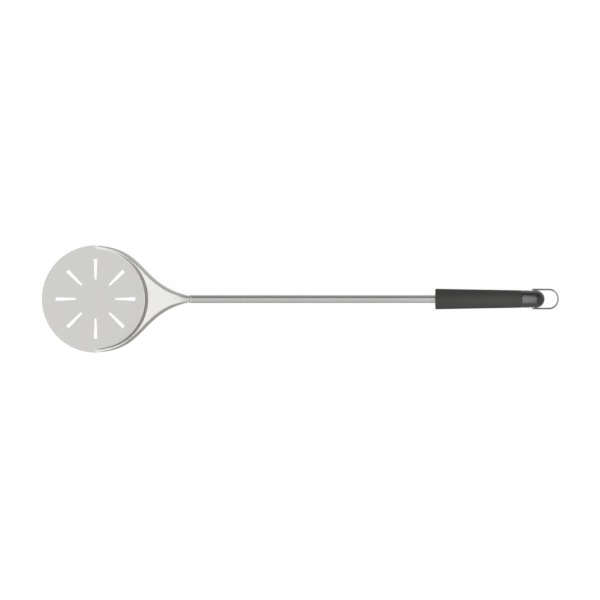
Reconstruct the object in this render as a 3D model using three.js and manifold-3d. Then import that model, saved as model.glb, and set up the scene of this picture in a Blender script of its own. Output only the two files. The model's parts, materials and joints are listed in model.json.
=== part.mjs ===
// Round turning peel: a slotted steel head pressed from one sheet, welded into a long steel tube that
// carries a moulded grip, a round end cap and a wire hanging loop that swings on the cap.
// Millimetres. +X runs along the handle and +Z is up. The origin is the centre of the disc's underside.
import * as THREE from 'three';
import { mergeVertices } from 'three/addons/utils/BufferGeometryUtils.js';
import Module from 'manifold-3d';

const wasm = await Module();
wasm.setup();

const DEG = Math.PI / 180;
const GAP = 0.3; // clearance between neighbouring pieces

// Head, pressed from one sheet
const SHEET = 1.2; // thickness of the sheet
const DISC_R = 88; // the disc's edge
const RIM = 6; // from the disc's edge in to the foot of the riser
const NECK_LENGTH = 69; // from the disc's rear edge to the tube's mouth
const WALL_TILT = 72 * DEG; // slope of the riser
const FLANGE_TILT = 64 * DEG; // slope of the turned-down sides
const BEND_INSIDE_R = 0.6; // of the bend between web and flange
const FLANGE_DEPTH = 9.5; // drop of the flanges beside the neck
const COLLAR_START = 80 * DEG; // where the outline leaves the disc, from +X
const COLLAR_SLOPE = -8 * DEG; // direction in which it leaves
const COLLAR_PULL = 69.3; // how far the outline keeps that direction
const NECK_SLOPE = 13.1 * DEG; // how steeply it comes in to the tongue
const NECK_PULL = 79.1; // how far back it keeps that slope
const NECK_SETBACK = 3.6; // from the tube's mouth to where it meets the tongue
const NECK_BLEND = 27; // length over which the neck turns into the half-round tongue
const TONGUE_LENGTH = 30; // length of the tongue inside the tube
const TONGUE_LEVEL = 8; // length of level web ahead of the tube
const TONGUE_FIT = 0.25; // radial play between tongue and bore

// Slots in the disc
const SLOTS = 8;
const SLOT_MARGIN = 22.3; // from the disc's edge in to a slot's wide end
const SLOT_LENGTH = 34.1;
const SLOT_WIDE = 6.2;
const SLOT_NARROW = 3.6;
const SLOT_CORNER = 1.2; // corner radius at the wide end

// Handle
const TUBE_R = 6.5;
const TUBE_WALL = 0.8;
const TUBE_SHOWING = 402; // from the tube's mouth to the grip
const GRIP_LENGTH = 141.5;
const GRIP_FRONT_R = 16.95; // its rear end is as wide as the end cap
const GRIP_EDGE = 0.4; // bevel of the grip's front edge
const SKIN = 2.2; // wall of the grip's outer moulding
const FRONT_WALL = 3; // front wall of the outer moulding
const TUBE_SHORT = 6; // how far the tube stops short of the end cap
const CORE_FINS = 8;
const CORE_FIN = 2; // thickness of a fin
const CORE_HUB = 2; // wall of the core's tube
const CORE_RING = 5; // length of the core's end rings
const PIN_R = 1.5;
const PIN_DEPTH = 3.73; // from the grip's outside in to the pin's ends
const PIN_SETBACK = 22; // from the grip's rear end to the cross pin
const WELD_LENGTH = 2.6; // along the tongue
const WELD_PROUD = 0.25; // how far the bead stands above the tube

// End cap and hanging loop
const CAP_R = 14.15; // radius of the round end
const CAP_DRAFT = 0.18; // how much the barrel widens towards the grip
const CAP_BARREL = 23.8; // length ahead of the round end
const CAP_WALL = 2.4;
const STEM_LENGTH = 38; // of the cap's stem, ahead of the cap
const PIVOT_SETBACK = 6.3; // from the round end's centre forward to the loop's pivot
const PIVOT_BOSS_R = 4;
const PIVOT_PLAY = 0.2; // radial clearance of the wire in its hole
const DIMPLE_R = 4.7; // round recess for the wire at each side
const DIMPLE_DEPTH = 1.3;
const WIRE_R = 1.45;
const WIRE_INSIDE_R = 0.8; // inside radius of the wire's inward bends
const LEG_PLAY = 0.25; // between the loop's legs and the cap
const LOOP_LEG = 29.8; // from the pivot to the round end's centre
const WIRE_REACH = 6.35; // how far the inturned ends reach in from the recess's floor

const BEND_R = BEND_INSIDE_R + SHEET;
const TONGUE_R = TUBE_R - TUBE_WALL - TONGUE_FIT;
const GRIP_REAR_R = CAP_R + CAP_DRAFT;
const AXIS_Z = Math.max(GRIP_FRONT_R, GRIP_REAR_R); // the grip's wide end and the disc rest on one plane
const TUBE_X = DISC_R + NECK_LENGTH;
const GRIP_X = TUBE_X + TUBE_SHOWING;
const CAP_X = GRIP_X + GRIP_LENGTH + GAP;
const TUBE_END = GRIP_X + GRIP_LENGTH - TUBE_SHORT;
const DOME_X = CAP_X + CAP_BARREL;
const PIVOT_X = DOME_X - PIVOT_SETBACK;
const PIN_X = GRIP_X + GRIP_LENGTH - PIN_SETBACK;
const WIRE_BEND = WIRE_INSIDE_R + WIRE_R;
const LOOP_R = CAP_R + LEG_PLAY + WIRE_R; // centre line of the loop's round end
const DIMPLE_FLOOR = CAP_R - DIMPLE_DEPTH;
const WIRE_INNER = DIMPLE_FLOOR - WIRE_REACH;
const DISH_R = DISC_R - RIM;
const TONGUE_END = TUBE_X + TONGUE_LENGTH;
const NECK_END = TUBE_X - NECK_SETBACK;
const WEB_END = TUBE_X - TONGUE_LEVEL;
const WEB_SLOPE = (AXIS_Z + TONGUE_R - SHEET) / WEB_END;
// The loose loop droops until its end rests on the surface under the peel
const DROOP = Math.asin((AXIS_Z - WIRE_R) / (LOOP_LEG + LOOP_R));

// ---- Solids ----------------------------------------------------------------------------------------

/** A closed geometry as a manifold solid. */
function solid(geometry) {
  geometry.deleteAttribute('normal');
  geometry.deleteAttribute('uv');
  const merged = mergeVertices(geometry, 1e-5);
  return new wasm.Manifold(new wasm.Mesh({
    numProp: 3,
    vertProperties: Float32Array.from(merged.attributes.position.array),
    triVerts: Uint32Array.from(merged.index.array),
  }));
}

/** A manifold solid as a geometry. */
function surface(body) {
  const { vertProperties, triVerts } = body.getMesh();
  const geometry = new THREE.BufferGeometry();
  geometry.setAttribute('position', new THREE.BufferAttribute(Float32Array.from(vertProperties), 3));
  geometry.setIndex(new THREE.BufferAttribute(Uint32Array.from(triVerts), 1));
  geometry.computeVertexNormals();
  return geometry;
}

/** A closed [x, radius] profile turned about the handle's centre line. */
function turned(profile, segments = 64) {
  const points = profile.map(([x, r]) => new THREE.Vector2(r, x));
  if (THREE.ShapeUtils.area(points) < 0) points.reverse(); // so that the faces point outwards
  if (points[0].x > 0) points.push(points[0].clone());
  const geometry = new THREE.LatheGeometry(points, segments);
  return solid(geometry.rotateZ(-Math.PI / 2).translate(0, 0, AXIS_Z));
}

/** A round bar between two places. */
function bar(radius, from, to, segments = 32) {
  const start = new THREE.Vector3(...from);
  const along = new THREE.Vector3(...to).sub(start);
  const geometry = new THREE.CylinderGeometry(radius, radius, along.length(), segments);
  geometry.translate(0, along.length() / 2, 0);
  const turn = new THREE.Quaternion().setFromUnitVectors(new THREE.Vector3(0, 1, 0), along.normalize());
  return solid(geometry.applyQuaternion(turn).translate(...start));
}

/** Quarter of a circle as [x, radius] points, from its widest place down to the axis. */
function roundEnd(x, radius, steps) {
  const points = Array.from({ length: steps }, (_, i) => {
    const angle = Math.PI / 2 * i / steps;
    return [x + radius * Math.sin(angle), radius * Math.cos(angle)];
  });
  return [...points, [x + radius, 0]];
}

// ---- Head ------------------------------------------------------------------------------------------

/** Height of the web's top face: a slope from the disc's diameter up to the level tongue. */
const webHeight = (x) => SHEET + Math.min(x, WEB_END) * WEB_SLOPE;

/** 0 on the flanged neck, 1 on the half-round tongue. */
const roundness = (x) => THREE.MathUtils.smoothstep(x, WEB_END + 2 - NECK_BLEND, WEB_END + 2);

/** Drop of the turned-down sides, which never go below the disc's underside. */
const sideDrop = (x) =>
  Math.min(webHeight(x), THREE.MathUtils.lerp(FLANGE_DEPTH, TONGUE_R, roundness(x)));

/** Stations along one side of the outline, from the disc's diameter to the tongue's end. */
function stations() {
  const arcSteps = 8;
  const curveSteps = 34;
  const list = [];
  for (let i = 0; i < arcSteps; i++) {
    const angle = THREE.MathUtils.lerp(Math.PI / 2, COLLAR_START, i / arcSteps);
    const out = new THREE.Vector2(Math.cos(angle), Math.sin(angle));
    list.push({ at: out.clone().multiplyScalar(DISC_R), out });
  }
  const start = new THREE.Vector2(Math.cos(COLLAR_START), Math.sin(COLLAR_START)).multiplyScalar(DISC_R);
  const end = new THREE.Vector2(NECK_END, TONGUE_R);
  const back = new THREE.Vector2(-Math.cos(NECK_SLOPE), Math.sin(NECK_SLOPE));
  const leave = new THREE.Vector2(Math.cos(COLLAR_SLOPE), Math.sin(COLLAR_SLOPE));
  const pulled = start.clone().addScaledVector(leave, COLLAR_PULL);
  const nearing = end.clone().addScaledVector(back, NECK_PULL);
  const curve = new THREE.CubicBezierCurve(start, pulled, nearing, end);
  for (let i = 0; i <= curveSteps; i++) {
    const tangent = curve.getTangent(i / curveSteps);
    list.push({ at: curve.getPoint(i / curveSteps), out: new THREE.Vector2(-tangent.y, tangent.x) });
  }
  list.push({ at: new THREE.Vector2(TONGUE_END, TONGUE_R), out: new THREE.Vector2(0, 1) });
  return list;
}

/** The side's section as [inset, drop] points from the web down, thickness deep in the sheet. */
function sideProfile(x, halfWidth, thickness) {
  const bendSteps = 4;
  const shortest = 0.1; // least length of the straight wall under the bend
  const drop = sideDrop(x);
  const bend = Math.min(BEND_R, 0.8 * drop / (1 - Math.cos(FLANGE_TILT)));
  const inner = Math.max(bend - thickness, 0.05);
  const straight = (drop - bend * (1 - Math.cos(FLANGE_TILT))) / Math.tan(FLANGE_TILT);
  const run = straight + bend * Math.sin(FLANGE_TILT);
  const top = 4 * DEG; // the round section's first point stays clear of the centre line
  const radius = TONGUE_R - thickness;
  const points = [];
  for (let i = 0; i <= bendSteps + 1; i++) {
    const tilt = FLANGE_TILT * Math.min(i / bendSteps, 1);
    const flanged = [run - inner * Math.sin(tilt), bend - inner * Math.cos(tilt)];
    if (i > bendSteps) {
      const further = Math.max(drop - flanged[1], shortest);
      flanged[0] -= further / Math.tan(FLANGE_TILT);
      flanged[1] += further;
    }
    const angle = THREE.MathUtils.lerp(top, Math.PI / 2, i / (bendSteps + 1));
    const round = [
      halfWidth - (halfWidth - thickness) * Math.sin(angle), TONGUE_R - radius * Math.cos(angle)];
    points.push(flanged.map((value, k) => THREE.MathUtils.lerp(value, round[k], roundness(x))));
  }
  return points;
}

/** Everything under the web and inside its sides, thickness deep in the sheet, down to a flat foot. */
function mound(thickness, foot) {
  const sections = stations().map(({ at, out }) => {
    const side = sideProfile(at.x, at.y, thickness).map(([inset, drop]) =>
      [at.x - inset * out.x, at.y - inset * out.y, webHeight(at.x) - drop]);
    const lowest = side[side.length - 1];
    side.push([lowest[0], lowest[1], foot]);
    return [...side.map(([x, y, z]) => [x, -y, z]).reverse(), ...side];
  });
  return lofted(sections);
}

/** The triangles that close a section, facing towards +X or -X. */
function capTriangles(section, towards) {
  const flat = section.map(([, y, z]) => new THREE.Vector2(y, z));
  return THREE.ShapeUtils.triangulateShape(flat, []).map((triangle) => {
    const area = THREE.ShapeUtils.area(triangle.map((i) => flat[i]));
    return area * towards > 0 ? triangle : triangle.toReversed();
  });
}

/** A closed solid through sections that all have the same number of points. */
function lofted(sections) {
  const count = sections[0].length;
  const end = (sections.length - 1) * count;
  const lastCap = capTriangles(sections.at(-1), 1).map((triangle) => triangle.map((i) => end + i));
  const index = [...capTriangles(sections[0], -1), ...lastCap];
  for (let row = 0; row < end; row += count) {
    for (let i = 0; i < count; i++) {
      const j = (i + 1) % count;
      index.push([row + i, row + count + j, row + j], [row + i, row + count + i, row + count + j]);
    }
  }
  const geometry = new THREE.BufferGeometry();
  geometry.setAttribute('position', new THREE.Float32BufferAttribute(sections.flat(2), 3));
  geometry.setIndex(index.flat());
  return solid(geometry);
}

/** The hollow above the disc, thickness deep in the sheet, from a floor height upwards. */
function dish(thickness, floor) {
  const radius = (z) => DISH_R + (z - SHEET) / Math.tan(WALL_TILT) + thickness / Math.sin(WALL_TILT);
  const knee = SHEET - thickness;
  const ceiling = 2 * AXIS_Z;
  const profile = [
    [0, floor], [radius(knee), floor], [radius(knee), knee], [radius(ceiling), ceiling], [0, ceiling]];
  const points = profile.map(([r, z]) => new THREE.Vector2(r, z));
  const distinct = points.filter((point, i) => i === 0 || !point.equals(points[i - 1]));
  return solid(new THREE.LatheGeometry(distinct, 128).rotateX(Math.PI / 2));
}

/** Everything below the lower edges of the flanges and of the tongue. */
function underside(floor) {
  const margin = 5;
  const edge = stations().map(({ at }) => new THREE.Vector2(at.x, webHeight(at.x) - sideDrop(at.x)));
  const shape = new THREE.Shape([
    new THREE.Vector2(-margin, 0), ...edge, new THREE.Vector2(TONGUE_END + margin, edge.at(-1).y),
    new THREE.Vector2(TONGUE_END + margin, floor), new THREE.Vector2(-margin, floor)]);
  const width = 2 * (DISC_R + margin);
  const geometry = new THREE.ExtrudeGeometry(shape, { depth: width, bevelEnabled: false });
  return solid(geometry.rotateX(Math.PI / 2).translate(0, width / 2, 0));
}

/** One tapered slot along +X, cut right through the disc. */
function slot() {
  const end = DISC_R - SLOT_MARGIN;
  const narrow = SLOT_NARROW / 2;
  const wide = SLOT_WIDE / 2;
  const corner = end - SLOT_CORNER;
  const shape = new THREE.Shape();
  shape.absarc(end - SLOT_LENGTH + narrow, 0, narrow, Math.PI / 2, Math.PI * 3 / 2);
  shape.absarc(corner, SLOT_CORNER - wide, SLOT_CORNER, -Math.PI / 2, 0);
  shape.absarc(corner, wide - SLOT_CORNER, SLOT_CORNER, 0, Math.PI / 2);
  const depth = 3 * SHEET;
  const geometry = new THREE.ExtrudeGeometry(shape, { depth, bevelEnabled: false, curveSegments: 5 });
  return geometry.translate(0, 0, -SHEET);
}

/** The head: disc, riser, sloping web, turned-down sides and tongue, all one sheet thick. */
function blade() {
  const foot = -20; // well below the peel, so that each cut goes right through
  const disc = solid(new THREE.CylinderGeometry(DISC_R, DISC_R, SHEET, 128)
    .rotateX(Math.PI / 2).translate(0, 0, SHEET / 2));
  const outside = mound(0, foot).subtract(dish(0, SHEET)).trimByPlane([0, 0, 1], 0);
  const inside = mound(SHEET, 2 * foot).add(underside(3 * foot)).subtract(dish(SHEET, 4 * foot));
  let head = disc.add(outside).subtract(inside);
  for (let i = 0; i < SLOTS; i++) {
    head = head.subtract(solid(slot().rotateZ(2 * Math.PI * i / SLOTS)));
  }
  return surface(head);
}

/** The bead that closes the step from the tongue up to the tube, round the tongue's upper half. */
function neckWeld() {
  const inner = TONGUE_R + GAP;
  const end = TUBE_X - GAP;
  const rise = TUBE_R + WELD_PROUD - inner;
  const crown = Array.from({ length: 7 }, (_, i) => {
    const angle = Math.PI / 2 * i / 6;
    return [end - WELD_LENGTH * Math.cos(angle), inner + rise * Math.sin(angle)];
  });
  const ring = turned([[end, inner], ...crown.toReversed()], 48);
  const lower = solid(new THREE.BoxGeometry(4 * WELD_LENGTH, 4 * TUBE_R, 4 * TUBE_R)
    .translate(end, 0, AXIS_Z - 2 * TUBE_R));
  return surface(ring.subtract(lower));
}

// ---- Handle ----------------------------------------------------------------------------------------

/** Radius of the grip's outside at a place along the handle. */
const gripRadius = (x) =>
  THREE.MathUtils.mapLinear(x, GRIP_X, GRIP_X + GRIP_LENGTH, GRIP_FRONT_R, GRIP_REAR_R);

/** The space that the cross pin needs, grown by play. */
function pinBar(play) {
  const reach = gripRadius(PIN_X) - PIN_DEPTH + play;
  return bar(PIN_R + play, [PIN_X, 0, AXIS_Z - reach], [PIN_X, 0, AXIS_Z + reach], 24);
}

/** The long tube, drilled across for the pin. */
function shaftTube() {
  const bore = TUBE_R - TUBE_WALL;
  const tube = turned([[TUBE_X, bore], [TUBE_END, bore], [TUBE_END, TUBE_R], [TUBE_X, TUBE_R]]);
  return surface(tube.subtract(pinBar(GAP)));
}

/** The outer moulding: a tapered skin with a front wall that closes on the tube. */
function gripSleeve() {
  const rear = GRIP_X + GRIP_LENGTH;
  const front = GRIP_X + FRONT_WALL;
  const hole = TUBE_R + GAP;
  return surface(turned([
    [GRIP_X, hole], [front, hole], [front, gripRadius(front) - SKIN],
    [rear, GRIP_REAR_R - SKIN], [rear, GRIP_REAR_R],
    [GRIP_X + GRIP_EDGE, GRIP_FRONT_R], [GRIP_X, GRIP_FRONT_R - GRIP_EDGE]], 72));
}

/** The hard core: a tube on the shaft, two end rings and fins that back the skin. */
function gripCore() {
  const front = GRIP_X + FRONT_WALL + GAP;
  const rear = GRIP_X + GRIP_LENGTH - GAP;
  const bore = TUBE_R + GAP;
  const outer = (x) => gripRadius(x) - SKIN - GAP;
  const between = (from, to, inner) =>
    turned([[from, inner], [to, inner], [to, outer(to)], [from, outer(from)]], 48);
  const hub = turned([[front, bore], [rear, bore], [rear, bore + CORE_HUB], [front, bore + CORE_HUB]], 48);
  let fins = between(front, rear, bore + CORE_HUB / 2);
  let plates = null;
  for (let i = 0; i < CORE_FINS / 2; i++) {
    const plate = solid(new THREE.BoxGeometry(2 * GRIP_LENGTH, CORE_FIN, 4 * GRIP_FRONT_R)
      .rotateX(Math.PI * (i + 0.5) * 2 / CORE_FINS).translate(GRIP_X + GRIP_LENGTH / 2, 0, AXIS_Z));
    plates = plates ? plates.add(plate) : plate;
  }
  fins = fins.intersect(plates);
  const rings = between(front, front + CORE_RING, bore).add(between(rear - CORE_RING, rear, bore));
  return surface(hub.add(fins).add(rings).subtract(pinBar(GAP)));
}

/** The pin that keeps the core, the tube and the cap's stem together. */
const crossPin = () => surface(pinBar(0));

/** The end cap: a hollow round end with a stem into the tube and a boss across for the loop's ends. */
function endCap() {
  const body = turned([[CAP_X, 0], [CAP_X, GRIP_REAR_R], ...roundEnd(DOME_X, CAP_R, 14)], 72);
  const cavityR = CAP_R - CAP_WALL;
  const cavity = turned([[CAP_X - 1, 0], [CAP_X - 1, GRIP_REAR_R - CAP_WALL],
    ...roundEnd(DOME_X, cavityR, 10)], 48);
  const stemR = TUBE_R - TUBE_WALL - GAP;
  const stemEnd = DOME_X + cavityR + CAP_WALL / 2;
  const stem = bar(stemR, [CAP_X - STEM_LENGTH, 0, AXIS_Z], [stemEnd, 0, AXIS_Z], 40);
  const boss = bar(PIVOT_BOSS_R, [PIVOT_X, -DIMPLE_FLOOR, AXIS_Z], [PIVOT_X, DIMPLE_FLOOR, AXIS_Z]);
  let cap = body.subtract(cavity).add(stem).add(boss).subtract(pinBar(GAP));
  for (const side of [-1, 1]) {
    const outside = [PIVOT_X, side * 2 * CAP_R, AXIS_Z];
    const dimple = bar(DIMPLE_R, [PIVOT_X, side * DIMPLE_FLOOR, AXIS_Z], outside, 40);
    const hole = bar(WIRE_R + PIVOT_PLAY, [PIVOT_X, side * (WIRE_INNER - GAP), AXIS_Z], outside, 24);
    cap = cap.subtract(dimple).subtract(hole);
  }
  return surface(cap);
}

/** The hanging loop's centre line in its own plane: pivot at 0, legs along +X, ends turned inwards. */
class LoopPath extends THREE.Curve {
  constructor() {
    super();
    const corner = LOOP_R - WIRE_BEND;
    this.flat = new THREE.Path();
    this.flat.moveTo(0, WIRE_INNER);
    this.flat.lineTo(0, corner);
    this.flat.absarc(WIRE_BEND, corner, WIRE_BEND, Math.PI, Math.PI / 2, true);
    this.flat.lineTo(LOOP_LEG, LOOP_R);
    this.flat.absarc(LOOP_LEG, 0, LOOP_R, Math.PI / 2, -Math.PI / 2, true);
    this.flat.lineTo(WIRE_BEND, -LOOP_R);
    this.flat.absarc(WIRE_BEND, -corner, WIRE_BEND, -Math.PI / 2, -Math.PI, true);
    this.flat.lineTo(0, -WIRE_INNER);
  }

  getPoint(t) {
    const { x, y } = this.flat.getPoint(t);
    return new THREE.Vector3(x, y, 0);
  }
}

/** The wire of the hanging loop. */
function bail() {
  const section = new THREE.Shape().absarc(0, 0, WIRE_R, 0, 2 * Math.PI);
  return new THREE.ExtrudeGeometry(section, { steps: 84, extrudePath: new LoopPath(), curveSegments: 3 });
}

// ---- Assembly --------------------------------------------------------------------------------------

const steel = { color: 0xb9b8b2, roughness: 0.42, metalness: 1 };
const finish = {
  blade: steel,
  weld: { ...steel, roughness: 0.55 },
  tube: { ...steel, roughness: 0.3 },
  pin: { ...steel, roughness: 0.35 },
  wire: { ...steel, roughness: 0.25 },
  skin: { color: 0x2a2a29, roughness: 0.75, metalness: 0 },
  core: { color: 0x1c1c1c, roughness: 0.6, metalness: 0 },
  cap: { color: 0x181817, roughness: 0.3, metalness: 0 },
};

/** A named piece with its own material. */
function piece(name, geometry, look) {
  const mesh = new THREE.Mesh(geometry, new THREE.MeshStandardMaterial(look));
  mesh.name = name;
  return mesh;
}

const peel = new THREE.Group();
peel.add(
  piece('blade', blade(), finish.blade),
  piece('neck_weld', neckWeld(), finish.weld),
  piece('shaft_tube', shaftTube(), finish.tube),
  piece('grip_sleeve', gripSleeve(), finish.skin),
  piece('grip_core', gripCore(), finish.core),
  piece('cross_pin', crossPin(), finish.pin),
  piece('end_cap', endCap(), finish.cap),
);

const swing = new THREE.Group();
swing.position.set(PIVOT_X, 0, AXIS_Z);
swing.rotation.y = DROOP;
swing.add(piece('bail', bail(), finish.wire));
peel.add(swing);

export default peel;
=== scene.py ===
"""Round turning peel: a slotted steel head pressed from one sheet, a steel tube, a moulded grip, an end
cap and a swinging wire loop. Metres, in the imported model's own frame: +X along the handle, +Z up."""
import json
import math

import bmesh
import bpy
from mathutils import Matrix, Vector, geometry


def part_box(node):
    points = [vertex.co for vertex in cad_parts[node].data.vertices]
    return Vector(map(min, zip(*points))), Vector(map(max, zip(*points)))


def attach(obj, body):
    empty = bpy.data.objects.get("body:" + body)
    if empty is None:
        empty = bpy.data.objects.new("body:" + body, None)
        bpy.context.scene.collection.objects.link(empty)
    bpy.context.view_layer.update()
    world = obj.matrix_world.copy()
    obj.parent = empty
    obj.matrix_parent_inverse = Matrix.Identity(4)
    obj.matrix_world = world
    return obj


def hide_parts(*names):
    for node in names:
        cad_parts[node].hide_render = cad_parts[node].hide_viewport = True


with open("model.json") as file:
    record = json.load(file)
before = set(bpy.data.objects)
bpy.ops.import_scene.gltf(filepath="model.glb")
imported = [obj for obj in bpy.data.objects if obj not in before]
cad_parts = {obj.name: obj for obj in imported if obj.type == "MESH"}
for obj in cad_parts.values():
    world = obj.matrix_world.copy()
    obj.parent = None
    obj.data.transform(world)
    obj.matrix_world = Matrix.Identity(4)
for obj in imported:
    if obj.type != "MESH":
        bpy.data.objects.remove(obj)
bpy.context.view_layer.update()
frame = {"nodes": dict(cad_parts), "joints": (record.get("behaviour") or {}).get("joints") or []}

MM = 0.001

# ---- Places taken from the frame ---------------------------------------------------------------------

HEAD_LOW, HEAD_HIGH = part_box("blade")
TUBE_LOW, TUBE_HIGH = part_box("shaft_tube")
GRIP_LOW, GRIP_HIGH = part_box("grip_sleeve")
CAP_LOW, CAP_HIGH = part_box("end_cap")
LOOP_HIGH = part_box("bail")[1]
PIVOT = Vector(next(j["pos_m"] for j in frame["joints"] if j["name"] == "loop_swing"))
AXIS_Z = PIVOT.z
GAP = 0.3 * MM  # between neighbouring pieces

# Head
SHEET = 1.2 * MM
DISC_R = -HEAD_LOW.x
DISH_R = DISC_R - 6 * MM  # foot of the riser
TONGUE_END = HEAD_HIGH.x
TONGUE_R = HEAD_HIGH.z - AXIS_Z
TUBE_X = TUBE_LOW.x
WEB_END = TUBE_X - 8 * MM  # where the web stops rising
WEB_SLOPE = (HEAD_HIGH.z - SHEET) / WEB_END
WALL_TILT = math.radians(72)  # of the riser
FLANGE_TILT = math.radians(64)  # of the turned-down sides
FLANGE_DEPTH = 9.5 * MM
FLANGE_START = 15 * MM  # from the disc's diameter to where the flange stands at its full tilt
BEND_RUN = 1.62 * MM  # width, seen from above, of the bend between web and flange
FOOT_RUN = 1.6 * MM  # the same for the bend at the riser's foot
CREST_RUN = 1.6 * MM  # and at its crest
COLLAR_START = math.radians(80)  # where the outline leaves the disc
COLLAR_SLOPE = math.radians(-8)  # direction in which it leaves
COLLAR_PULL = 69.3 * MM  # how far it keeps that direction
NECK_SLOPE = math.radians(13.1)  # how steeply it comes in to the tongue
NECK_PULL = 79.1 * MM  # how far back it keeps that slope
NECK_END = TUBE_X - 3.6 * MM  # where it meets the tongue
NECK_BLEND = 27 * MM  # length over which the neck turns round
NECK_ROUND = WEB_END + 2 * MM  # where the neck is fully round
EDGE_BREAK = 0.18 * MM  # of the sheet's cut edges

# Slots
SLOTS = 8
SLOT_END = DISC_R - 22.3 * MM
SLOT_LENGTH = 34.1 * MM
SLOT_WIDE = 6.2 * MM
SLOT_NARROW = 3.6 * MM
SLOT_CORNER = 1.2 * MM
SLOT_FIELD_R = 70 * MM  # flat middle of the disc, which holds the slots

# Handle
TUBE_R = (TUBE_HIGH.y - TUBE_LOW.y) / 2
TUBE_WALL = 0.8 * MM
WELD_LENGTH = 2.6 * MM
WELD_PROUD = 0.25 * MM
WELD_RIPPLES = 26
GRIP_FRONT_R = (GRIP_HIGH.y - GRIP_LOW.y) / 2
SKIN = 2.2 * MM
FRONT_WALL = 3 * MM
PIN_LOW, PIN_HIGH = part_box("cross_pin")

# End cap and loop
CAP_R = 14.15 * MM
CAP_X = GRIP_HIGH.x + GAP
CAP_FRONT_R = CAP_R + 0.18 * MM
CAP_WALL = 2.4 * MM
DOME_X = CAP_HIGH.x - CAP_R
STEM_R = TUBE_R - TUBE_WALL - GAP
DIMPLE_R = 4.7 * MM
DIMPLE_DEPTH = 1.3 * MM
BOSS_R = 4 * MM
WIRE_R = 1.45 * MM
WIRE_BEND = WIRE_R + 0.8 * MM
WIRE_INNER = 6.5 * MM  # from the centre line to the inturned ends
LOOP_R = LOOP_HIGH.y - WIRE_R
LOOP_LEG = 29.8 * MM
DROOP = math.asin((AXIS_Z - WIRE_R) / (LOOP_LEG + LOOP_R))


# ---- Small helpers -----------------------------------------------------------------------------------

def smoothstep(t):
    t = min(max(t, 0.0), 1.0)
    return t * t * (3 - 2 * t)


def root(rising, low, high):
    """Where a rising function passes through zero, or the nearer end where it doesn't."""
    for _ in range(50):
        middle = (low + high) / 2
        if rising(middle) < 0:
            low = middle
        else:
            high = middle
    return (low + high) / 2


def show(name, mesh):
    thing = bpy.data.objects.new(name, mesh)
    bpy.context.scene.collection.objects.link(thing)
    return thing


def finished(name, build):
    """A bmesh as a named object, smooth all over."""
    mesh = bpy.data.meshes.new(name)
    build.to_mesh(mesh)
    build.free()
    mesh.shade_smooth()
    return show(name, mesh)


def modified(thing, *modifiers):
    """Puts modifiers on an object in turn and keeps their result as its plain mesh."""
    for kind, settings in modifiers:
        modifier = thing.modifiers.new(kind.title(), kind)
        for key, value in settings.items():
            setattr(modifier, key, value)
    bpy.context.view_layer.update()
    graph = bpy.context.evaluated_depsgraph_get()
    mesh = bpy.data.meshes.new_from_object(thing.evaluated_get(graph), depsgraph=graph)
    thing.modifiers.clear()
    thing.data = mesh
    mesh.name = thing.name
    return thing


def softened(thing, width, angle=50, segments=2):
    """Breaks an object's sharp edges with a narrow rounded bevel."""
    bevel = {
        "width": width, "segments": segments,
        "limit_method": "ANGLE", "angle_limit": math.radians(angle),
        "use_clamp_overlap": False, "harden_normals": True, "miter_outer": "MITER_ARC",
    }
    return modified(thing, ("BEVEL", bevel))


def combined(thing, operation, *tools):
    """Joins tools to an object or cuts them from it, then clears them away."""
    for tool in tools:
        modified(thing, ("BOOLEAN", {"operation": operation, "object": tool, "solver": "EXACT"}))
        bpy.data.objects.remove(tool)
    return thing


def fitted(thing, body, slot, material, *nodes):
    """Gives a piece its finish, ties it to its body and hides the nodes it stands for. Its slot is not
    used.
    """
    thing.data.materials.clear()
    thing.data.materials.append(material)
    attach(thing, body)
    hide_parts(*nodes)
    return thing


def rounded(corners, steps=4):
    """A closed outline whose corners, given as (along, out, radius), are turned into arcs."""
    outline = []
    for i, (along, out, radius) in enumerate(corners):
        here = Vector((along, out))
        if radius == 0:
            outline.append(here)
            continue
        back = (Vector(corners[i - 1][:2]) - here).normalized()
        ahead = (Vector(corners[(i + 1) % len(corners)][:2]) - here).normalized()
        half = back.angle(ahead) / 2
        centre = here + (back + ahead).normalized() * radius / math.sin(half)
        first = (here + back * radius / math.tan(half) - centre).normalized()
        last = (here + ahead * radius / math.tan(half) - centre).normalized()
        outline += [centre + radius * first.slerp(last, k / steps) for k in range(steps + 1)]
    return outline


def turned(name, profile, segments=128):
    """A closed (along, out) profile turned about the handle's centre line."""
    build = bmesh.new()
    rings = []
    for along, out in profile:
        if out < 1e-7:
            rings.append([build.verts.new((along, 0, AXIS_Z))] * segments)
            continue
        ring = []
        for k in range(segments):
            angle = 2 * math.pi * k / segments
            ring.append(build.verts.new((along, out * math.sin(angle), AXIS_Z + out * math.cos(angle))))
        rings.append(ring)
    on_axis = profile[0][1] < 1e-7
    pairs = list(zip(rings, rings[1:])) + ([] if on_axis else [(rings[-1], rings[0])])
    for first, second in pairs:
        for k in range(segments):
            j = (k + 1) % segments
            corners = []
            for vertex in (first[k], first[j], second[j], second[k]):
                if vertex not in corners:
                    corners.append(vertex)
            build.faces.new(corners)
    if build.calc_volume(signed=True) < 0:
        bmesh.ops.reverse_faces(build, faces=build.faces)
    return finished(name, build)


def bar(name, radius, start, end, segments=48):
    """A plain round bar between two places, as a tool for cutting and joining."""
    along = Vector(end) - Vector(start)
    turn = along.to_track_quat("Z", "Y").to_matrix().to_4x4()
    place = Matrix.Translation((Vector(start) + Vector(end)) / 2) @ turn
    build = bmesh.new()
    bmesh.ops.create_cone(
        build, cap_ends=True, segments=segments, radius1=radius, radius2=radius,
        depth=along.length, matrix=place)
    return finished(name, build)


# ---- Head --------------------------------------------------------------------------------------------

def arc_run(start, end):
    """Share of an arc's length that it runs level, between two slopes."""
    turn = end - start
    return math.cos(start) if abs(turn) < 1e-6 else (math.sin(end) - math.sin(start)) / turn


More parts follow.
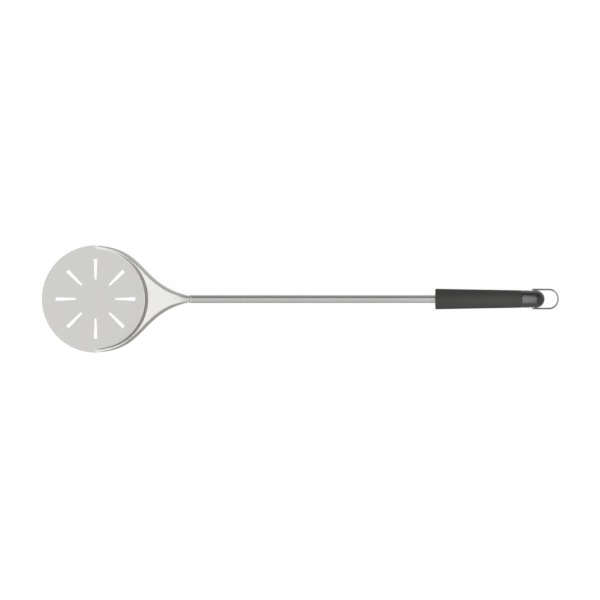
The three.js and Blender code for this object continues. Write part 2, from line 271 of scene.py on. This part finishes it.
def arc_rise(start, end):
    """Share of an arc's length that it climbs, between two slopes."""
    turn = end - start
    return math.sin(start) if abs(turn) < 1e-6 else (math.cos(start) - math.cos(end)) / turn


def traced(parts, steps):
    """(run, rise) places along arcs and straights, given as (length, slope at start, slope at end)."""
    arc_density = 3
    dense = [length * (1 if start == end else arc_density) for length, start, end in parts]
    places = []
    for k in range(steps + 1):
        left = sum(dense) * k / steps
        run = rise = 0.0
        for (length, start, end), weight in zip(parts, dense):
            if weight <= 0 or left <= 0:
                continue
            share = min(left / weight, 1.0)
            here = start + (end - start) * share
            run += length * share * arc_run(start, here)
            rise += length * share * arc_rise(start, here)
            left -= weight * share
        places.append((run, rise))
    return places


def web_height(x):
    """Height of the web's top face, which climbs from the disc's diameter to the tongue."""
    return SHEET + WEB_SLOPE * min(max(x, 0.0), WEB_END)


def head_outline():
    """The head's left edge from the disc's front to the tongue's end, with its outward directions."""
    disc_steps, curve_steps, tongue_steps = 66, 110, 12
    points = []
    for i in range(disc_steps):
        angle = math.pi + (COLLAR_START - math.pi) * i / disc_steps
        points.append(Vector((math.cos(angle), math.sin(angle))) * DISC_R)
    start = Vector((math.cos(COLLAR_START), math.sin(COLLAR_START))) * DISC_R
    leave = Vector((math.cos(COLLAR_SLOPE), math.sin(COLLAR_SLOPE)))
    end = Vector((NECK_END, TONGUE_R))
    back = Vector((-math.cos(NECK_SLOPE), math.sin(NECK_SLOPE)))
    curve = geometry.interpolate_bezier(
        start, start + leave * COLLAR_PULL, end + back * NECK_PULL, end, curve_steps)
    points += [point.to_2d() for point in curve]
    for i in range(1, tongue_steps + 1):
        points.append(Vector((NECK_END + (TONGUE_END - NECK_END) * i / tongue_steps, TONGUE_R)))
    for _ in range(16):  # eases the corner where the collar leaves the disc
        near = range(disc_steps - 6, disc_steps + 7)
        eased = {i: (points[i - 1] + 2 * points[i] + points[i + 1]) / 4 for i in near}
        for i, point in eased.items():
            points[i] = point
    outward = [Vector((-1, 0))]
    for before, after in zip(points, points[2:]):
        along = (after - before).normalized()
        outward.append(Vector((-along.y, along.x)))
    outward.append(Vector((0, 1)))
    return list(zip(points, outward))


def riser(angle):
    """Radial section from the slot field up onto the web, as (distance, height) places."""
    climb = math.atan(WEB_SLOPE * max(math.cos(angle), 0.0))
    least = max(climb, 1e-4)

    def bends(tilt):
        foot = FOOT_RUN / arc_run(0, tilt)
        crest = CREST_RUN / arc_run(tilt, climb)
        start = DISH_R - FOOT_RUN / math.sin(tilt) * math.tan(tilt / 2)
        return foot, crest, start, foot * arc_rise(0, tilt) + crest * arc_rise(tilt, climb)

    def overshoot(tilt):
        _, _, start, height = bends(tilt)
        return height - math.tan(climb) * (start + FOOT_RUN + CREST_RUN)

    tilt = root(overshoot, least, WALL_TILT)
    foot, crest, start, _ = bends(tilt)
    wall = -overshoot(tilt) / (math.sin(tilt) - math.tan(climb) * math.cos(tilt))
    if wall < 1e-7:
        wall = 0.0
    parts = [(start - SLOT_FIELD_R, 0, 0), (foot, 0, tilt), (wall, tilt, tilt), (crest, tilt, climb)]
    return [(SLOT_FIELD_R + run, SHEET + rise) for run, rise in traced(parts, 34)]


def flange(edge, outward):
    """The turned-down side at one place of the outline, as points from the web out to the cut edge."""
    climb = math.atan(WEB_SLOPE * max(outward.x, 0.0)) if edge.x > 0 else 0.0
    full = smoothstep(edge.x / FLANGE_START)

    def bend_drop(tilt):
        return -BEND_RUN / arc_run(climb, -tilt) * arc_rise(climb, -tilt)

    reach = BEND_RUN
    for _ in range(12):
        inner = edge - outward * reach
        top = web_height(inner.x)
        low = max(top - FLANGE_DEPTH, 0.0)
        tilt = root(lambda t: bend_drop(t) + SHEET * math.cos(t) + low - top, 0.0, FLANGE_TILT)
        wall = 0.0
        if tilt > 0.99 * FLANGE_TILT:
            wall = max((top - bend_drop(tilt) - SHEET * math.cos(tilt) - low) / math.sin(tilt), 0.0)
        tilt *= full
        reach = BEND_RUN + wall * math.cos(tilt)
    parts = [(BEND_RUN / arc_run(climb, -tilt), climb, -tilt), (wall, -tilt, -tilt)]
    inner = edge - outward * reach
    return [(inner + outward * run).to_3d() + Vector((0, 0, top + rise))
            for run, rise in traced(parts, 22)]


def web(inner, side, steps=9):
    """Points straight across the web, from its inner end up to the first point of the side."""
    across = [inner.lerp(side[0], k / steps) for k in range(steps)]
    for point in across[1:]:
        point.z = web_height(point.x)
    return across + side


def rolled(column):
    """Rolls a section of the neck into the half-round tongue as it nears the tube."""
    lengths = [0.0]
    for before, after in zip(column, column[1:]):
        lengths.append(lengths[-1] + (after - before).length)
    result = []
    for point, length in zip(column, lengths):
        angle = math.pi / 2 * length / lengths[-1]
        tongue = Vector((point.x, column[-1].y * math.sin(angle), AXIS_Z + TONGUE_R * math.cos(angle)))
        result.append(point.lerp(tongue, smoothstep((point.x - NECK_ROUND + NECK_BLEND) / NECK_BLEND)))
    return result


def head_columns():
    """Sections round the disc, from the slot field outwards, and then along the neck."""
    places = head_outline()
    polar = [math.atan2(edge.y, edge.x) for edge, _ in places]
    lean_start, lean_end = math.radians(50), math.radians(14)  # sections lean over to reach the middle
    turning = max(i for i, angle in enumerate(polar) if angle > lean_end)
    round_disc = []
    for (edge, outward), angle in zip(places[:turning + 1], polar):
        lean = max((lean_start - angle) / (lean_start - polar[turning]), 0.0)
        angle -= polar[turning] * lean ** 2
        ring = [Vector((s * math.cos(angle), s * math.sin(angle), z)) for s, z in riser(angle)]
        round_disc.append(ring[:-1] + web(ring[-1], flange(edge, outward)))
    shared = len(round_disc[-1]) - len(web(ring[-1], flange(edge, outward)))
    along_neck = [round_disc[-1][shared:]]
    first, turn_x = ring[-1].x, places[turning][0].x
    for edge, outward in places[turning + 1:]:
        share = (edge.x - turn_x) / (TONGUE_END - turn_x)
        x = first + (TONGUE_END - first) * share
        along_neck.append(rolled(web(Vector((x, 0, web_height(x))), flange(edge, outward))))
    return round_disc, along_neck


def slot_outline(turn):
    """One tapered slot, narrow and round towards the middle, turned about the disc's centre."""
    narrow, wide = SLOT_NARROW / 2, SLOT_WIDE / 2
    points = []
    for k in range(15):
        angle = math.pi / 2 + math.pi * k / 14
        points.append((SLOT_END - SLOT_LENGTH + narrow + narrow * math.cos(angle),
                       narrow * math.sin(angle)))
    for side in (-1, 1):
        for k in range(7):
            angle = math.pi / 2 * (k / 6 - (side < 0))
            points.append((SLOT_END - SLOT_CORNER + SLOT_CORNER * math.cos(angle),
                           side * (wide - SLOT_CORNER) + SLOT_CORNER * math.sin(angle)))
    return [Matrix.Rotation(turn, 3, "Z") @ Vector((x, y, SHEET)) for x, y in points]


def make_head(material):
    """The head, as one bent sheet with its slots, thickened downwards."""
    build = bmesh.new()
    rim = []
    for side in (1, -1):
        for columns in head_columns():
            grid = [[build.verts.new((p.x, side * p.y, p.z)) for p in column] for column in columns]
            if len(columns[0]) == len(grid[0]) and columns[0][0].x < 0:
                rim += [column[0] for column in grid]
            for here, ahead in zip(grid, grid[1:]):
                for k in range(len(here) - 1):
                    corners = (here[k], ahead[k], ahead[k + 1], here[k + 1])
                    build.faces.new(corners[::side])
    bmesh.ops.remove_doubles(build, verts=build.verts, dist=1e-6)
    field = [edge for edge in build.edges if edge.is_boundary and all(
        abs(v.co.xy.length - SLOT_FIELD_R) < 1e-6 for v in edge.verts)]
    for i in range(SLOTS):
        loop = [build.verts.new(point) for point in slot_outline(2 * math.pi * i / SLOTS)]
        field += [build.edges.new((a, b)) for a, b in zip(loop, loop[1:] + loop[:1])]
    filled = bmesh.ops.triangle_fill(build, edges=field, use_beauty=True, normal=(0, 0, 1))["geom"]
    for face in filled:
        if isinstance(face, bmesh.types.BMFace) and face.normal.z < 0:
            face.normal_flip()
    head = finished("head", build)
    modified(head, ("SOLIDIFY", {
        "thickness": SHEET, "offset": -1, "use_even_offset": True, "use_quality_normals": True}))
    softened(head, EDGE_BREAK, 55)
    return fitted(head, "peel", "head_steel", material, "blade")


# ---- Handle ------------------------------------------------------------------------------------------

def make_tube(material):
    """The long tube, with its ends lightly broken and a hole across for the pin under the grip."""
    bore = TUBE_R - TUBE_WALL
    broken = 0.15 * MM
    front, covered, far = TUBE_X + 1 * MM, GRIP_LOW.x + 6 * MM, TUBE_HIGH.x - 1 * MM
    profile = rounded([
        (covered, bore, 0), (front, bore, 0), (TUBE_X, bore, broken), (TUBE_X, TUBE_R, broken),
        (front, TUBE_R, 0), (covered, TUBE_R, 0), (far, TUBE_R, 0), (TUBE_HIGH.x, TUBE_R, broken),
        (TUBE_HIGH.x, bore, broken), (far, bore, 0)], 3)
    tube = turned("tube", profile, 96)
    middle = (PIN_LOW + PIN_HIGH) / 2
    hole_r = (PIN_HIGH.x - PIN_LOW.x) / 2 + GAP
    across = Vector((0, 0, 2 * TUBE_R))
    combined(tube, "DIFFERENCE", bar("hole", hole_r, middle - across, middle + across))
    tube.data.set_sharp_from_angle(angle=math.radians(40))
    return fitted(tube, "peel", "tube_steel", material, "shaft_tube")


def make_weld(material):
    """A short fillet of weld over the step from the tongue up to the tube, laid in even ripples."""
    inner, end = TONGUE_R + 0.05 * MM, TUBE_X - 0.05 * MM
    rise = TUBE_R + WELD_PROUD - inner
    steps, across = WELD_RIPPLES * 8, 10
    build = bmesh.new()
    sections = []
    for i in range(steps + 1):
        angle = math.pi * (i / steps - 0.5)
        section = []
        for k in range(across + 1):
            turn = math.pi / 2 * k / across
            phase = WELD_RIPPLES * i / steps - 0.35 * math.sin(turn)
            swell = 1 - 0.09 * abs(math.cos(math.pi * phase)) ** 6
            fade = smoothstep(6 * (0.5 - abs(i / steps - 0.5)) + 0.35)
            along = end - WELD_LENGTH * math.cos(turn) * swell * (0.6 + 0.4 * fade)
            out = inner + rise * math.sin(turn) * swell * fade
            section.append(build.verts.new(
                (along, out * math.sin(angle), AXIS_Z + out * math.cos(angle))))
        out = inner
        section.append(build.verts.new((end, out * math.sin(angle), AXIS_Z + out * math.cos(angle))))
        sections.append(section)
    count = len(sections[0])
    for here, ahead in zip(sections, sections[1:]):
        for k in range(count):
            j = (k + 1) % count
            build.faces.new((here[k], here[j], ahead[j], ahead[k]))
    build.faces.new(sections[0][::-1])
    build.faces.new(sections[-1])
    if build.calc_volume(signed=True) < 0:
        bmesh.ops.reverse_faces(build, faces=build.faces)
    weld = finished("weld", build)
    weld.data.set_sharp_from_angle(angle=math.radians(50))
    return fitted(weld, "peel", "weld_steel", material, "neck_weld")


def grip_radius(x):
    share = (x - GRIP_LOW.x) / (GRIP_HIGH.x - GRIP_LOW.x)
    return GRIP_FRONT_R + (CAP_FRONT_R - GRIP_FRONT_R) * share


def make_grip(material):
    """The soft outer moulding of the grip, with a crisp front corner."""
    front, rear = GRIP_LOW.x, GRIP_HIGH.x
    hole = TUBE_R + GAP
    inside = front + FRONT_WALL
    profile = rounded([
        (front, hole, 0.5 * MM), (inside, hole, 0.3 * MM), (inside, grip_radius(inside) - SKIN, 0),
        (rear, CAP_FRONT_R - SKIN, 0.2 * MM), (rear, CAP_FRONT_R, 0.25 * MM),
        (front, GRIP_FRONT_R, 0.8 * MM)], 5)
    grip = turned("grip", profile, 144)
    grip.data.set_sharp_from_angle(angle=math.radians(40))
    return fitted(grip, "peel", "grip_skin", material, "grip_sleeve")


def make_cap(material):
    """The end cap: a hollow round end on a stem, with a recess and a hole at each side for the loop."""
    cavity = CAP_R - CAP_WALL
    stem_start = CAP_LOW.x
    corner = 0.35 * MM
    meets = math.acos(STEM_R / cavity)
    profile = [Vector((stem_start, 0))]
    profile += rounded([(stem_start, 0, 0), (stem_start, STEM_R, 0.4 * MM),
                        (DOME_X, STEM_R, 0)], 3)[1:-1]
    for k in range(13):
        angle = meets * (1 - k / 12)
        profile.append(Vector((DOME_X + cavity * math.sin(angle), cavity * math.cos(angle))))
    lip = rounded([(DOME_X, cavity, 0), (CAP_X, CAP_FRONT_R - CAP_WALL, corner),
                   (CAP_X, CAP_FRONT_R, corner), (DOME_X, CAP_R, 0)], 4)
    profile += lip[1:-1]
    barrel_steps = 16
    for k in range(1, barrel_steps):
        share = k / barrel_steps
        profile.append(Vector((CAP_X + corner + (DOME_X - CAP_X - corner) * share,
                               CAP_FRONT_R + (CAP_R - CAP_FRONT_R) * share)))
    for k in range(37):
        angle = math.pi / 2 * k / 36
        profile.append(Vector((DOME_X + CAP_R * math.sin(angle), CAP_R * math.cos(angle))))
    profile[-1].y = 0
    cap = turned("end_cap_moulding", profile, 144)
    floor = CAP_R - DIMPLE_DEPTH
    combined(cap, "UNION", bar("boss", BOSS_R, PIVOT + Vector((0, -floor - 0.4 * MM, 0)),
                               PIVOT + Vector((0, floor + 0.4 * MM, 0))))
    for side in (-1, 1):
        outside = PIVOT + Vector((0, side * 2 * CAP_R, 0))
        recess = bar("recess", DIMPLE_R, PIVOT + Vector((0, side * floor, 0)), outside, 72)
        hole = bar("hole", WIRE_R + 0.2 * MM, PIVOT + Vector((0, side * (WIRE_INNER - GAP), 0)), outside)
        combined(cap, "DIFFERENCE", recess, hole)
    middle = (PIN_LOW + PIN_HIGH) / 2
    across = Vector((0, 0, 2 * TUBE_R))
    pin_r = (PIN_HIGH.x - PIN_LOW.x) / 2 + GAP
    combined(cap, "DIFFERENCE", bar("pin_hole", pin_r, middle - across, middle + across))
    softened(cap, 0.2 * MM, 42, 3)
    return fitted(cap, "peel", "cap_plastic", material, "end_cap")


# ---- Hanging loop ------------------------------------------------------------------------------------

def loop_path():
    """The wire's centre line, lying level with the pivot at the origin and both ends turned inwards."""
    corner = LOOP_R - WIRE_BEND
    half = [Vector((0, WIRE_INNER, 0))]
    for k in range(13):
        angle = math.pi * (1 - k / 24)
        half.append(Vector((
            WIRE_BEND + WIRE_BEND * math.cos(angle), corner + WIRE_BEND * math.sin(angle), 0)))
    for k in range(33):
        angle = math.pi / 2 * (1 - k / 32)
        half.append(Vector((LOOP_LEG + LOOP_R * math.cos(angle), LOOP_R * math.sin(angle), 0)))
    return half + [Vector((point.x, -point.y, 0)) for point in half[-2::-1]]


def wire_tree():
    """Geometry nodes that draw a round wire along a curve."""
    tree = bpy.data.node_groups.new("drawn_wire", "GeometryNodeTree")
    tree.interface.new_socket("Path", in_out="INPUT", socket_type="NodeSocketGeometry")
    tree.interface.new_socket("Wire Radius", in_out="INPUT", socket_type="NodeSocketFloat")
    tree.interface.new_socket("Sides", in_out="INPUT", socket_type="NodeSocketInt")
    tree.interface.new_socket("Finish", in_out="INPUT", socket_type="NodeSocketMaterial")
    tree.interface.new_socket("Wire", in_out="OUTPUT", socket_type="NodeSocketGeometry")
    nodes, link = tree.nodes, tree.links.new
    given, made = nodes.new("NodeGroupInput"), nodes.new("NodeGroupOutput")
    section = nodes.new("GeometryNodeCurvePrimitiveCircle")
    link(given.outputs["Wire Radius"], section.inputs["Radius"])
    link(given.outputs["Sides"], section.inputs["Resolution"])
    sweep = nodes.new("GeometryNodeCurveToMesh")
    sweep.inputs["Fill Caps"].default_value = True
    link(given.outputs["Path"], sweep.inputs["Curve"])
    link(section.outputs["Curve"], sweep.inputs["Profile Curve"])
    real = nodes.new("GeometryNodeRealizeInstances")
    link(sweep.outputs["Mesh"], real.inputs["Geometry"])
    finish = nodes.new("GeometryNodeSetMaterial")
    link(real.outputs["Geometry"], finish.inputs["Geometry"])
    link(given.outputs["Finish"], finish.inputs["Material"])
    link(finish.outputs["Geometry"], made.inputs["Wire"])
    return tree


def with_nodes(thing, tree, **values):
    """Runs a geometry nodes tree on an object and hands back the result as a plain mesh object."""
    modifier = thing.modifiers.new(tree.name, "NODES")
    modifier.node_group = tree
    for item in tree.interface.items_tree:
        key = item.name.lower().replace(" ", "_")
        if item.in_out == "INPUT" and key in values:
            modifier[item.identifier] = values[key]
    bpy.context.view_layer.update()
    graph = bpy.context.evaluated_depsgraph_get()
    mesh = bpy.data.meshes.new_from_object(thing.evaluated_get(graph), depsgraph=graph)
    name = thing.name
    bpy.data.objects.remove(thing)
    mesh.shade_smooth()
    return show(name, mesh)


def make_loop(material):
    """The wire hanging loop, resting where it droops onto the table."""
    path = loop_path()
    curve = bpy.data.curves.new("wire_path", "CURVE")
    curve.dimensions = "3D"
    spline = curve.splines.new("POLY")
    spline.points.add(len(path) - 1)
    for point, place in zip(spline.points, path):
        point.co = (*place, 1)
    wire = with_nodes(
        show("hanging_loop", curve), wire_tree(), wire_radius=WIRE_R, sides=24, finish=material)
    wire.data.transform(Matrix.Translation(PIVOT) @ Matrix.Rotation(DROOP, 4, "Y"))
    bend = bmesh.new()
    bend.from_mesh(wire.data)
    if bend.calc_volume(signed=True) < 0:
        bmesh.ops.reverse_faces(bend, faces=bend.faces)
    bend.to_mesh(wire.data)
    bend.free()
    softened(wire, 0.2 * MM)
    return fitted(wire, "loop", "wire_steel", material, "bail")


# ---- Materials ---------------------------------------------------------------------------------------

class Amount:
    """A number in a finish's nodes. Python's operators on it add Math nodes."""

    def __init__(self, finish, socket):
        self.finish = finish
        self.socket = socket

    def __add__(self, other):
        return self.finish.maths("ADD", self, other)

    def __sub__(self, other):
        return self.finish.maths("SUBTRACT", self, other)

    def __rsub__(self, other):
        return self.finish.maths("SUBTRACT", other, self)

    def __mul__(self, other):
        return self.finish.maths("MULTIPLY", self, other)

    def __neg__(self):
        return self.finish.maths("MULTIPLY", self, -1.0)

    __radd__ = __add__
    __rmul__ = __mul__


class Finish:
    """The nodes of one material or of the world."""

    def __init__(self, owner):
        owner.use_nodes = True
        self.tree = owner.node_tree
        self.tree.nodes.clear()

    def add(self, kind, settings=None, inputs=None):
        """A node, with its settings made first and then its sockets' values or links."""
        node = self.tree.nodes.new("ShaderNode" + kind)
        for key, value in (settings or {}).items():
            if key == "stops":
                ramp = node.color_ramp.elements
                while len(ramp) < len(value):
                    ramp.new(0.5)
                for stop, (position, colour) in zip(ramp, value):
                    stop.position = position
                    stop.color = (*colour, 1)
            else:
                setattr(node, key, value)
        for key, value in (inputs or {}).items():
            socket = next(s for s in node.inputs if s.identifier == key)
            if isinstance(value, Amount):
                value = value.socket
            if isinstance(value, bpy.types.NodeSocket):
                self.tree.links.new(value, socket)
            else:
                socket.default_value = value
        return node

    def maths(self, operation, *values):
        sockets = dict(zip(("Value", "Value_001", "Value_002"), values))
        return Amount(self, self.add("Math", {"operation": operation}, sockets).outputs[0])

    def eased(self, value, low, high):
        """0 below low, 1 above high and smooth between."""
        node = self.add("MapRange", {"interpolation_type": "SMOOTHSTEP"},
                        {"Value": value, "From Min": low, "From Max": high})
        return Amount(self, node.outputs["Result"])

    def place(self, scale=(1, 1, 1)):
        """Object coordinates, stretched by a scale for each axis."""
        place = self.add("TexCoord").outputs["Object"]
        return self.add("Mapping", None, {"Vector": place, "Scale": scale}).outputs["Vector"]

    def noise(self, place, scale, detail=3.0, roughness=0.5):
        node = self.add("TexNoise", None, {
            "Vector": place, "Scale": scale, "Detail": detail, "Roughness": roughness})
        return Amount(self, node.outputs["Fac"])

    def mixed(self, share, first, second):
        """One colour turning into another."""
        node = self.add("Mix", {"data_type": "RGBA"}, {
            "Factor_Float": share, "A_Color": colour(first), "B_Color": colour(second)})
        return next(s for s in node.outputs if s.identifier == "Result_Color")

    def bumped(self, height, distance, strength=1.0, under=None):
        inputs = {"Height": height, "Distance": distance, "Strength": strength}
        if under is not None:
            inputs["Normal"] = under
        return self.add("Bump", None, inputs).outputs["Normal"]


def colour(value):
    return (*value, 1) if isinstance(value, tuple) else value


def surface(name, inputs, detail):
    """A material from constant shader values and a function that adds what varies."""
    material = bpy.data.materials.new(name)
    finish = Finish(material)
    varying = detail(finish)
    shader = finish.add("BsdfPrincipled", None, {**inputs, **varying})
    finish.add("OutputMaterial", None, {"Surface": shader.outputs["BSDF"]})
    return material


def brushed(name, tone, roughness, grain, depth, mottle=0.06):
    """Steel with fine streaks, long where grain is small, under a slow cloudiness."""

    def detail(finish):
        streaks = finish.noise(finish.place(grain), 1.0, 4.0, 0.6)
        clouds = finish.noise(finish.place(), 22.0, 2.0)
        dark = tuple(0.93 * value for value in tone)
        light = tuple(min(1.05 * value, 1.0) for value in tone)
        return {
            "Base Color": finish.mixed(streaks * 0.7 + clouds * 0.3, dark, light),
            "Roughness": roughness + (streaks - 0.5) * 0.16 + (clouds - 0.5) * mottle,
            "Normal": finish.bumped(streaks, depth, 0.35),
        }

    return surface(name, {"Metallic": 1.0}, detail)


def weld_steel():
    def detail(finish):
        clouds = finish.noise(finish.place(), 900.0, 3.0)
        tint = finish.noise(finish.place(), 260.0, 2.0)
        return {
            "Base Color": finish.mixed(tint, (0.46, 0.43, 0.38), (0.6, 0.6, 0.6)),
            "Roughness": 0.38 + clouds * 0.2,
            "Normal": finish.bumped(clouds, 0.04 * MM, 0.5),
        }

    return surface("weld_steel", {"Metallic": 1.0}, detail)


def grip_skin():
    """Matte moulding with a fine spark-eroded grain and a little wear."""

    def detail(finish):
        grain = finish.noise(finish.place(), 1500.0, 2.0, 0.6)
        wear = finish.noise(finish.place(), 30.0, 4.0)
        return {
            "Base Color": finish.mixed(wear, (0.032, 0.032, 0.031), (0.038, 0.038, 0.0365)),
            "Roughness": 0.66 + (grain - 0.5) * 0.12 + (wear - 0.5) * 0.12,
            "Normal": finish.bumped(grain, 0.12 * MM, 0.4),
        }

    return surface("grip_skin", {"Specular IOR Level": 0.25}, detail)


def cap_plastic():
    """Smoother moulding, semi-gloss, with faint flow marks and handling scuffs."""

    def detail(finish):
        flow = finish.noise(finish.place((1, 3, 3)), 60.0, 3.0)
        scuffs = finish.noise(finish.place((400, 2600, 2600)), 1.0, 3.0)
        return {
            "Base Color": finish.mixed(flow, (0.012, 0.012, 0.0115), (0.017, 0.017, 0.0165)),
            "Roughness": 0.17 + (flow - 0.5) * 0.04 + (scuffs - 0.5) * 0.05,
            "Normal": finish.bumped(scuffs, 0.01 * MM, 0.2),
        }

    return surface("cap_plastic", {"Specular IOR Level": 0.8}, detail)


def core_plastic():
    def detail(finish):
        flow = finish.noise(finish.place((1, 4, 4)), 45.0, 3.0)
        return {
            "Base Color": finish.mixed(flow, (0.018, 0.018, 0.018), (0.03, 0.03, 0.03)),
            "Roughness": 0.5 + flow * 0.15,
        }

    return surface("core_plastic", {}, detail)


# ---- Studio ------------------------------------------------------------------------------------------

FLOOR_GLOW = 0.91  # of the lit table itself, which leaves almost no shadow


def make_floor():
    """A white table that glows. The camera sees it evenly white; the peel sees a dimmer painted glow,
    lighter from the far side, that stands in for light from there.
    """
    build = bmesh.new()
    bmesh.ops.create_grid(build, x_segments=1, y_segments=1, size=8)
    floor = finished("floor", build)

    def detail(finish):
        clouds = finish.noise(finish.place(), 3.0, 2.0)
        seen = finish.add("LightPath").outputs["Is Camera Ray"]
        y = finish.add("SeparateXYZ", None, {"Vector": finish.place()}).outputs["Y"]
        # painted light: the glow the peel sees, dimmer than what the camera sees and lighter towards the
        # far side
        painted_glow = finish.mixed(finish.eased(y, 0.0, 0.04), (0.45, 0.45, 0.45), (0.75, 0.75, 0.75))
        return {
            "Base Color": finish.mixed(clouds, (0.11, 0.11, 0.11), (0.12, 0.12, 0.12)),
            "Emission Color": finish.mixed(seen, painted_glow, (1, 1, 1)),
        }

    constants = {"Roughness": 0.9, "Specular IOR Level": 0.1, "Emission Strength": FLOOR_GLOW}
    floor.data.materials.append(surface("pale_floor", constants, detail))


def make_dome():
    """Studio dome with a bright panel towards the head, dim at both ends and behind the far side."""
    world = bpy.data.worlds.new("studio")
    bpy.context.scene.world = world
    finish = Finish(world)
    axes = finish.add("SeparateXYZ", None, {"Vector": finish.add("TexCoord").outputs["Generated"]})
    x, y = (Amount(finish, axes.outputs[key]) for key in "XY")
    head_panel = finish.eased(-x, 0.1, 0.24) * (1 - finish.eased(-x, 0.42, 0.6))
    head_end = finish.eased(-x, 0.42, 0.6)
    grip_end = finish.eased(x, 0.15, 0.5)
    near = finish.eased(-y, 0.0, 0.15)
    far = finish.eased(y, 0.36, 0.52)
    glow = 0.86 + head_panel * 1.72 - near * 0.1
    strength = glow * (1 - far * 0.68) * (1 - head_end * 0.6) * (1 - grip_end * 0.4)
    light = finish.add("Background", None, {"Color": (1, 1, 1, 1), "Strength": strength})
    seen = finish.add("Background", None, {"Color": (1, 1, 1, 1), "Strength": 1.0})
    camera_ray = finish.add("LightPath").outputs["Is Camera Ray"]
    mix = finish.add("MixShader", None, {
        "Fac": camera_ray, "Shader": light.outputs[0], "Shader_001": seen.outputs[0]})
    finish.add("OutputWorld", None, {"Surface": mix.outputs[0]})


def make_softbox(name, place, size, glow):
    """A rectangular softbox that shines straight down, with a given brightness."""
    light = bpy.data.lights.new(name, "AREA")
    light.shape = "RECTANGLE"
    light.size, light.size_y = size
    light.energy = glow * math.pi * size[0] * size[1]
    box = show(name, light)
    box.location = place
    box.visible_camera = False
    return box


def make_camera():
    """A long lens straight above the peel."""
    width, height = 0.9874, 24.0
    camera = bpy.data.cameras.new("camera")
    camera.type = "PERSP"
    camera.sensor_width = 36
    camera.lens = camera.sensor_width * height / width
    camera.clip_end = 60
    eye = show("camera", camera)
    eye.location = (0.3365, -0.00157, height)
    bpy.context.scene.camera = eye


# ---- Assembly ----------------------------------------------------------------------------------------

SHEET_STEEL = brushed("sheet_steel", (0.60, 0.597, 0.58), 0.42, (3200, 110, 3200), 0.02 * MM)
TUBE_STEEL = brushed("tube_steel", (0.60, 0.60, 0.592), 0.2, (60, 900, 900), 0.003 * MM)
WIRE_STEEL = brushed("wire_steel", (0.42, 0.42, 0.415), 0.22, (90, 2500, 2500), 0.006 * MM)
PIN_STEEL = brushed("pin_steel", (0.55, 0.55, 0.54), 0.3, (1800, 1800, 70), 0.006 * MM)

make_head(SHEET_STEEL)
make_weld(weld_steel())
make_tube(TUBE_STEEL)
make_grip(grip_skin())
make_cap(cap_plastic())
make_loop(WIRE_STEEL)
for node, material in (("grip_core", core_plastic()), ("cross_pin", PIN_STEEL)):
    kept = frame["nodes"][node]
    kept.data.materials.clear()
    kept.data.materials.append(material)

make_floor()
make_dome()
over_barrel = ((CAP_X + DOME_X) / 2 + 3.3 * MM, -0.085, 0.35)
for name, length, glow in (("cap_fill", 0.9, 2.5), ("cap_strip", 0.52, 7.5), ("cap_core", 0.26, 12.0)):
    make_softbox(name, over_barrel, (0.034, length), glow)
make_camera()
bpy.context.scene.view_settings.view_transform = "Standard"
